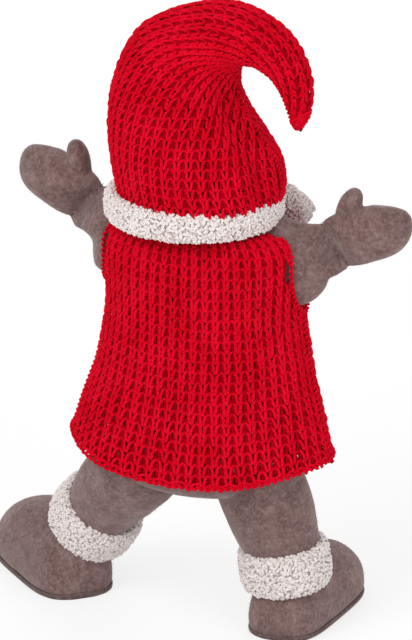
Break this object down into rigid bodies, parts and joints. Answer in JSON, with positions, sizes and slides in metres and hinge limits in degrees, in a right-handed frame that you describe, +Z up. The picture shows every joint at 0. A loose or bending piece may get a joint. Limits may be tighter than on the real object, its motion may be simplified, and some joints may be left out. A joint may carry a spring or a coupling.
{
  "type": "santa doll",
  "caption": "Standing stuffed felt Santa doll with a hooked knitted hat, knitted sleeveless tunic, curly fleece collar, beard and boot cuffs, and jointed arms, hands and legs",
  "frame": {"origin": "on the floor under the middle of the bounding box", "axes": "+Z up, the face looks along -Y, the doll's left hand is on +X"},
  "size_m": [0.2832, 0.1406, 0.394],
  "materials": {
    "felt": "matte",
    "knit": "matte",
    "fleece": "matte",
    "nose_felt": "matte",
    "sole_felt": "matte",
    "bead": "gloss"
  },
  "bodies": {
    "body": {"torso": "felt", "head": "felt", "hat_lining": "felt", "hat_knit": "knit", "hat_trim": "fleece", "beard": "fleece", "nose": "nose_felt", "left_eye": "bead", "right_eye": "bead", "tunic_front": "knit", "tunic_back": "knit"},
    "left_arm": {"left_arm": "felt"},
    "left_hand": {"left_hand": "felt"},
    "right_arm": {"right_arm": "felt"},
    "right_hand": {"right_hand": "felt"},
    "left_leg": {"left_leg": "felt", "left_cuff": "fleece", "left_boot": "felt", "left_sole": "sole_felt"},
    "right_leg": {"right_leg": "felt", "right_cuff": "fleece", "right_boot": "felt", "right_sole": "sole_felt"}
  },
  "joints": [
    {"name": "left_shoulder", "type": "hinge", "parent": "body", "child": "left_arm", "pos_m": [0.03503, 0.01453, 0.238], "axis": [0, 1, 0], "range_deg": [-6, 50]},
    {"name": "right_shoulder", "type": "hinge", "parent": "body", "child": "right_arm", "pos_m": [-0.06847, 0.01453, 0.235], "axis": [0, -1, 0], "range_deg": [-15, 45]},
    {"name": "left_wrist", "type": "hinge", "parent": "left_arm", "child": "left_hand", "pos_m": [0.06335, 0.00353, 0.25446], "axis": [-0.6756, 0, 0.7373], "range_deg": [-40, 40]},
    {"name": "right_wrist", "type": "hinge", "parent": "right_arm", "child": "right_hand", "pos_m": [-0.09542, 0.00353, 0.24533], "axis": [0.5736, 0, 0.8191], "range_deg": [-40, 40]},
    {"name": "left_hip", "type": "hinge", "parent": "body", "child": "left_leg", "pos_m": [0.01803, 0.01853, 0.104], "axis": [0, 1, 0], "range_deg": [-8, 12]},
    {"name": "right_hip", "type": "hinge", "parent": "body", "child": "right_leg", "pos_m": [-0.04997, 0.01853, 0.104], "axis": [0, 1, 0], "range_deg": [-4, 20]}
  ]
}
